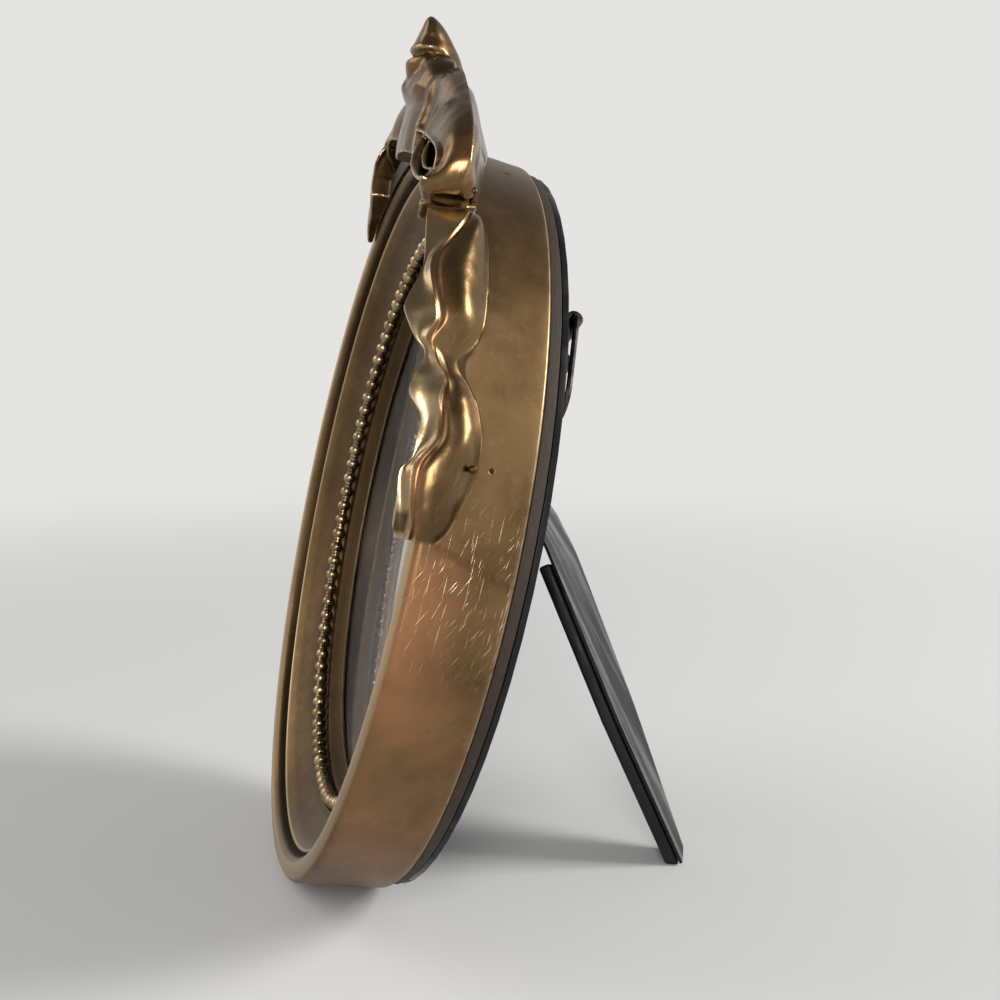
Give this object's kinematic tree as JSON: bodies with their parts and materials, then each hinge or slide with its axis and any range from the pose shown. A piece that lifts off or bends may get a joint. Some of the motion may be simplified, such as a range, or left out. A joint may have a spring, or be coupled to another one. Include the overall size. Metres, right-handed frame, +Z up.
{
  "type": "easel picture frame",
  "caption": "Round standing picture frame with a moulded gilt ring, beaded sight edge, ribbon bow crest, glazing, folding easel leg and swinging hanging rings.",
  "frame": {"origin": "middle of the small flat under the ring on which the frame stands", "axes": "+Z up, -Y towards the viewer of the picture, +X to the viewer's right"},
  "size_m": [0.1444, 0.08, 0.1612],
  "materials": {
    "gilt_ring": "aged, rubbed gold over coppery red, fine scratches",
    "gilt_bow": "aged gold with pale rubbed folds and coppery hollows",
    "bead_brass": "rubbed gold on the crowns, dark between",
    "pin_brass": "aged gold",
    "clear_glass": "clear, polished",
    "grey_paper": "matt mottled grey-brown paper",
    "grey_card": "matt card",
    "brown_board": "bare brown board edge",
    "black_board": "black painted board",
    "black_leatherette": "glossy black leatherette",
    "black_steel": "blackened, slightly worn"
  },
  "bodies": {
    "frame": {"frame_ring": "gilt_ring", "bead_row": "bead_brass", "bow_crest": "gilt_bow", "ribbon_tail_right": "gilt_bow", "ribbon_tail_left": "gilt_bow", "crest_pin_right": "pin_brass", "crest_pin_left": "pin_brass", "tail_pin_right": "pin_brass", "tail_pin_left": "pin_brass", "glass": "clear_glass", "picture_card": "grey_paper", "filler_board": "grey_card", "back_board": "brown_board", "back_cover": "black_leatherette", "back_screw_1": "black_steel", "back_screw_2": "black_steel", "back_screw_3": "black_steel", "back_screw_4": "black_steel", "hinge_pad": "black_leatherette", "hanger_strap_right": "black_steel", "hanger_strap_left": "black_steel", "hanger_screw_right": "black_steel", "hanger_screw_left": "black_steel"},
    "leg": {"leg_board": "black_board", "leg_sheet": "black_leatherette"},
    "ring_right": {"hanger_ring_right": "black_steel"},
    "ring_left": {"hanger_ring_left": "black_steel"}
  },
  "joints": [
    {"name": "leg_fold", "type": "hinge", "parent": "frame", "child": "leg", "pos_m": [-0.0237, 0.02857, 0.1], "axis": [-0.8712, 0.1079, 0.4789], "range_deg": [0, 41.7]},
    {"name": "ring_swing_right", "type": "hinge", "parent": "frame", "child": "ring_right", "pos_m": [0.04826, 0.03083, 0.10502], "axis": [0.8536, 0.1145, 0.5083], "range_deg": [0, 163]},
    {"name": "ring_swing_left", "type": "hinge", "parent": "frame", "child": "ring_left", "pos_m": [-0.04826, 0.03083, 0.10502], "axis": [0.8536, -0.1145, -0.5083], "range_deg": [0, 163]}
  ]
}
